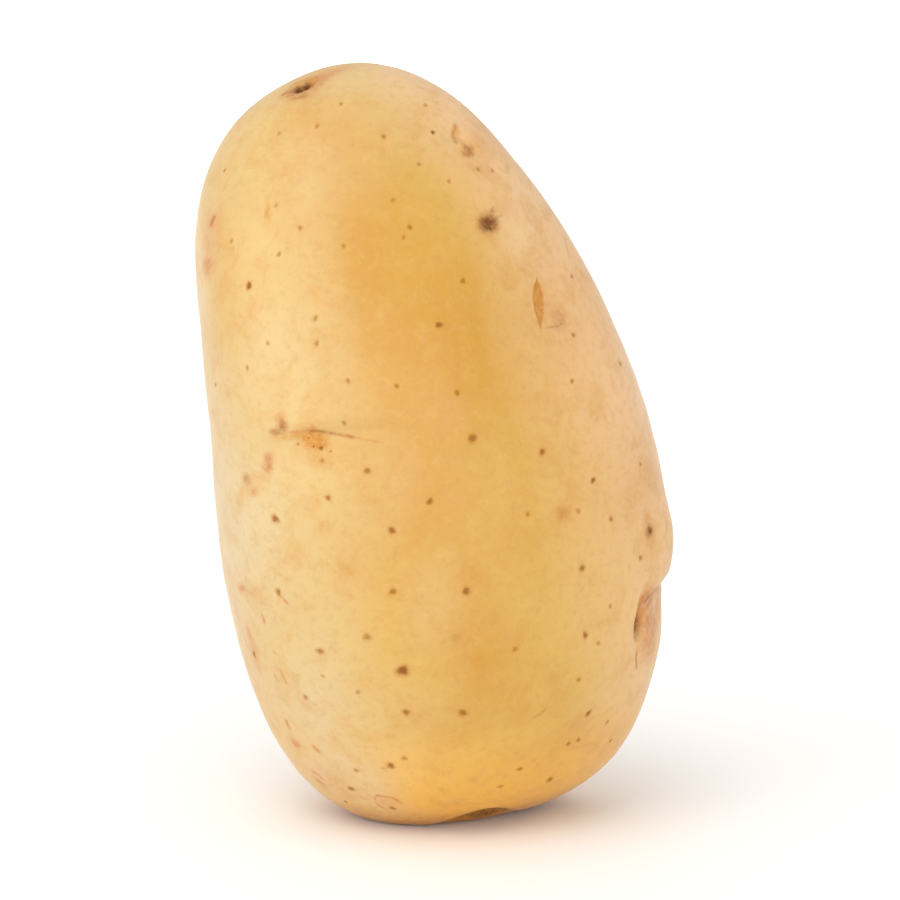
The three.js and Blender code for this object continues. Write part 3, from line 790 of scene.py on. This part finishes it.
mesh = bpy.data.meshes.new("potato_skin")
mesh.vertices.add(len(skin))
mesh.vertices.foreach_set("co", (skin * MM).astype(np.float32).ravel())
mesh.loops.add(len(tri) * 3)
mesh.loops.foreach_set("vertex_index", tri.astype(np.int32).ravel())
mesh.polygons.add(len(tri))
mesh.polygons.foreach_set("loop_start", np.arange(0, len(tri) * 3, 3, dtype=np.int32))
mesh.polygons.foreach_set("use_smooth", np.ones(len(tri), bool))
mesh.update(calc_edges=True)
mesh.validate()
# These carry the skin's stains, together with painted contact shade, and the masks of painted highlight,
# painted shade, painted rim sheen and painted light from the floor.
for name, values in (("pore", pore), ("pore_tone", tone), ("painted_rim_sheen", painted_rim_sheen), ("dark", stain_and_painted_shade[:, DARK])):
    mesh.attributes.new(name, "FLOAT", "POINT").data.foreach_set("value", values.astype(np.float32))
for name, first in (("stain_and_painted_shade", stain_and_painted_shade[:, :3]), ("parts", np.clip(np.stack([painted_highlight, painted_shade, low], 1), 0, 1))):
    four = np.concatenate([first, np.ones((len(skin), 1))], 1).astype(np.float32)
    mesh.attributes.new(name, "FLOAT_COLOR", "POINT").data.foreach_set("color", four.ravel())
potato = bpy.data.objects.new("potato_skin", mesh)
bpy.context.scene.collection.objects.link(potato)


# The skin's colours.
SKIN_YELLOW = (0.580, 0.356, 0.073)
SKIN_OLIVE = (0.570, 0.378, 0.090)
# The next four colours paint light and shade: a darker one used both as random mottle and as painted shade, a
# painted highlight, a painted rim sheen, and painted light from the floor.
SKIN_DEEP_MOTTLE_AND_PAINTED_SHADE = (0.518, 0.252, 0.014)
PAINTED_HIGHLIGHT_SKIN = (0.608, 0.468, 0.250)
PAINTED_SHEEN_SKIN = (0.725, 0.455, 0.225)
PAINTED_FLOOR_LIGHT_SKIN = (0.750, 0.385, 0.040)
SKIN_WARM = (0.545, 0.268, 0.045)
SKIN_FLECK = (0.650, 0.430, 0.145)
SKIN_GRAIN = (0.440, 0.210, 0.035)
SKIN_LIGHT = (0.660, 0.490, 0.220)
# Stains, in the order of KINDS. The ochre and dark ones also paint the shade at the foot and in the base
# dimple.
STAIN_TINTS = [(0.500, 0.200, 0.003), (0.510, 0.182, 0.035), (0.330, 0.118, 0.034), (0.120, 0.048, 0.016)]
PORE_HALO = (0.450, 0.185, 0.040)
PORE_DARK = (0.240, 0.092, 0.022)
# Mottling: scale, detail, roughness and distortion of the noise, its lowest and highest value,
# then the most that it adds, and the colour.
BROAD_MOTTLING = [
    (45, 4, 0.55, 0.0, 0.38, 0.68, 0.45, SKIN_DEEP_MOTTLE_AND_PAINTED_SHADE),
    (70, 3, 0.5, 0.5, 0.45, 0.70, 0.50, SKIN_OLIVE),
]
FINE_MOTTLING = [
    (170, 5, 0.65, 0.6, 0.46, 0.70, 0.46, SKIN_WARM),
    (330, 5, 0.7, 0.4, 0.44, 0.80, 0.26, SKIN_FLECK),
    (760, 4, 0.7, 0.0, 0.44, 0.80, 0.36, SKIN_GRAIN),
    (1900, 2, 0.5, 0.0, 0.54, 0.72, 0.07, SKIN_LIGHT),
]
SPECULAR, SHEEN, COAT = 0.5, 0.1, 0.2
# The share of the gloss that corky marks take away.
DULLED = 0.85
# What is the same all over the skin. The subsurface scale is in metres.
EVEN_VALUES = {
    "Sheen Roughness": 0.4, "Coat Roughness": 0.38, "Coat IOR": 1.45,
    "Subsurface Weight": 0.18, "Subsurface Radius": (1.0, 0.5, 0.2), "Subsurface Scale": 0.0022,
}


def skin_material():
    material = bpy.data.materials.new("potato skin")
    material.use_nodes = True
    nodes, links = material.node_tree.nodes, material.node_tree.links
    shader = nodes["Principled BSDF"]
    where = nodes.new("ShaderNodeTexCoord").outputs["Object"]

    def noise(scale, detail, roughness=0.5, distortion=0.0):
        n = nodes.new("ShaderNodeTexNoise")
        n.inputs["Scale"].default_value = scale
        n.inputs["Detail"].default_value = detail
        n.inputs["Roughness"].default_value = roughness
        n.inputs["Distortion"].default_value = distortion
        links.new(where, n.inputs["Vector"])
        return n.outputs["Fac"]

    def spread(value, low, high, to_low=0.0, to_high=1.0, smooth=True):
        n = nodes.new("ShaderNodeMapRange")
        n.interpolation_type = "SMOOTHSTEP" if smooth else "LINEAR"
        n.inputs["From Min"].default_value = low
        n.inputs["From Max"].default_value = high
        n.inputs["To Min"].default_value = to_low
        n.inputs["To Max"].default_value = to_high
        links.new(value, n.inputs["Value"])
        return n.outputs["Result"]

    def sums(kind, a, b, clamp=False):
        n = nodes.new("ShaderNodeMath")
        n.operation = kind
        n.use_clamp = clamp
        for socket, value in zip(n.inputs, (a, b)):
            if isinstance(value, (int, float)):
                socket.default_value = value
            else:
                links.new(value, socket)
        return n.outputs[0]

    def mix(factor, a, b):
        n = nodes.new("ShaderNodeMix")
        n.data_type = "RGBA"
        sockets = [s for s in n.inputs if s.enabled]
        for socket, value in zip(sockets, (factor, a, b)):
            if isinstance(value, tuple):
                socket.default_value = (*value, 1)
            elif isinstance(value, (int, float)):
                socket.default_value = value
            else:
                links.new(value, socket)
        return [s for s in n.outputs if s.enabled][0]

    def attribute(name, output):
        n = nodes.new("ShaderNodeAttribute")
        n.attribute_name = name
        return n.outputs[output]

    def channels(colour):
        n = nodes.new("ShaderNodeSeparateColor")
        links.new(colour, n.inputs[0])
        return n.outputs

    def mottle(colour, table):
        for scale, detail, roughness, distortion, least, most, amount, tint in table:
            value = noise(scale, detail, roughness, distortion)
            colour = mix(spread(value, least, most, 0, amount), colour, tint)
        return colour

    # plain skin: yellow, mottled and finely flecked, with painted shade, a painted highlight, a painted rim
    # sheen and painted light from the floor
    colour = mottle(SKIN_YELLOW, BROAD_MOTTLING)
    highlight_paint, shade_paint, floor_light_paint = channels(attribute("parts", "Color"))[:3]
    colour = mix(shade_paint, colour, SKIN_DEEP_MOTTLE_AND_PAINTED_SHADE)
    colour = mix(highlight_paint, colour, PAINTED_HIGHLIGHT_SKIN)
    colour = mix(attribute("painted_rim_sheen", "Fac"), colour, PAINTED_SHEEN_SKIN)
    colour = mix(floor_light_paint, colour, PAINTED_FLOOR_LIGHT_SKIN)
    colour = mottle(colour, FINE_MOTTLING)

    # stains, with ragged edges; at the foot and in the base dimple they are painted shade
    rag = spread(noise(1150, 5, 0.72), 0.36, 0.62, 0.5, 1.35, False)
    ochre, red, purple = channels(attribute("stain_and_painted_shade", "Color"))[:3]
    dark = attribute("dark", "Fac")
    for amount, tint in zip((ochre, red, purple, dark), STAIN_TINTS):
        colour = mix(sums("MULTIPLY", amount, rag, True), colour, tint)

    # pores: a dark middle in a soft halo
    wobble = spread(noise(2300, 3, 0.6), 0.2, 0.8, -0.15, 0.15, False)
    ragged = sums("ADD", attribute("pore", "Fac"), wobble)
    shade = attribute("pore_tone", "Fac")
    halo = sums("MULTIPLY", spread(ragged, 0.08, 0.62), sums("MULTIPLY", shade, 0.65))
    colour = mix(halo, colour, PORE_HALO)
    colour = mix(sums("MULTIPLY", spread(ragged, 0.45, 0.82), shade), colour, PORE_DARK)
    links.new(colour, shader.inputs["Base Color"])

    # gloss: a thin waxy shine, duller at corky marks and pores
    rough = spread(noise(240, 3), 0.3, 0.7, 0.40, 0.52, False)
    rough = sums("ADD", rough, sums("MULTIPLY", spread(ragged, 0.4, 0.6), 0.2))
    links.new(sums("ADD", rough, sums("MULTIPLY", dark, 0.25), True), shader.inputs["Roughness"])
    corky = sums("MAXIMUM", sums("MAXIMUM", dark, purple), spread(ragged, 0.3, 0.7))
    shine = sums("SUBTRACT", 1.0, sums("MULTIPLY", corky, DULLED), True)
    links.new(sums("MULTIPLY", shine, SPECULAR), shader.inputs["Specular IOR Level"])
    links.new(sums("MULTIPLY", shine, SHEEN), shader.inputs["Sheen Weight"])
    links.new(sums("MULTIPLY", shine, COAT), shader.inputs["Coat Weight"])
    for name, value in EVEN_VALUES.items():
        shader.inputs[name].default_value = value

    grain = sums("ADD", noise(1500, 4, 0.6), sums("MULTIPLY", noise(420, 3, 0.5), 1.2))
    bump = nodes.new("ShaderNodeBump")
    bump.inputs["Strength"].default_value = 0.5
    bump.inputs["Distance"].default_value = 0.00006
    links.new(grain, bump.inputs["Height"])
    links.new(bump.outputs["Normal"], shader.inputs["Normal"])
    return material


mesh.materials.append(skin_material())
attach(potato, "root")
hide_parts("potato")


# Floor, light and camera.
def plain_material(name, colour, roughness):
    material = bpy.data.materials.new(name)
    material.use_nodes = True
    shader = material.node_tree.nodes["Principled BSDF"]
    shader.inputs["Base Color"].default_value = (*colour, 1)
    shader.inputs["Roughness"].default_value = roughness
    shader.inputs["Specular IOR Level"].default_value = 0.2
    return material


bpy.ops.mesh.primitive_plane_add(size=8, location=(0, 0, 0))
floor = bpy.context.object
floor.name = "floor"
floor.data.materials.append(plain_material("white floor", (0.95, 0.94, 0.93), 0.8))

# The surroundings glow a little more from the upper left than from the lower right.
BRIGHT_SIDE = (-0.78, -0.05, 0.62)
WORLD_DIM, WORLD_BRIGHT = 0.53, 0.94
world = bpy.data.worlds.new("white surroundings")
bpy.context.scene.world = world
world.use_nodes = True
nodes, links = world.node_tree.nodes, world.node_tree.links
background = nodes["Background"]
background.inputs["Color"].default_value = (1.0, 0.99, 0.98, 1)
toward = nodes.new("ShaderNodeTexCoord")
facing = nodes.new("ShaderNodeVectorMath")
facing.operation = "DOT_PRODUCT"
facing.inputs[1].default_value = BRIGHT_SIDE
shade = nodes.new("ShaderNodeMapRange")
links.new(toward.outputs["Generated"], facing.inputs[0])
links.new(facing.outputs["Value"], shade.inputs["Value"])
links.new(shade.outputs["Result"], background.inputs["Strength"])
shade.inputs["From Min"].default_value = -1.0
shade.inputs["From Max"].default_value = 1.0
shade.inputs["To Min"].default_value = WORLD_DIM
shade.inputs["To Max"].default_value = WORLD_BRIGHT


# Lamps: name, place, width and height in metres, watts, the point it faces, spread in degrees.
LAMPS = [
    ("key, left", (-0.80, -0.42, 0.17), 0.8, 0.7, 3.2, (0, 0, 0.04), 180),
    ("front", (0.28, -0.90, 0.15), 0.9, 0.5, 4.3, (0, 0, 0.055), 180),
    ("overhead", (-0.25, -0.55, 1.3), 1.0, 1.0, 5.5, (0, -0.1, 0), 180),
    ("over the far floor", (0.0, 2.2, 1.6), 3.0, 2.2, 44.0, (0.0, 2.2, 0.0), 90),
]


def soft_box(name, place_m, width, height, watts, aim, spread):
    data = bpy.data.lights.new(name, "AREA")
    data.shape = "RECTANGLE"
    data.size, data.size_y = width, height
    data.energy = watts
    data.spread = math.radians(spread)
    lamp = bpy.data.objects.new(name, data)
    bpy.context.scene.collection.objects.link(lamp)
    lamp.location = place_m
    lamp.rotation_mode = "QUATERNION"
    lamp.rotation_quaternion = (Vector(aim) - Vector(place_m)).to_track_quat("-Z", "Y")


for lamp in LAMPS:
    soft_box(*lamp)

camera = bpy.data.objects.new("camera", bpy.data.cameras.new("camera"))
bpy.context.scene.collection.objects.link(camera)
bpy.context.scene.camera = camera
camera.data.lens = LENS
camera.data.sensor_width = SENSOR
camera.data.clip_start, camera.data.clip_end = 0.01, 20
back = Vector(VIEW)
camera.location = Vector(AIM * MM) + back * DISTANCE * MM
camera.rotation_mode = "QUATERNION"
camera.rotation_quaternion = (-back).to_track_quat("-Z", "Y")
bpy.context.scene.view_settings.view_transform = "Standard"
bpy.context.scene.view_settings.look = "None"
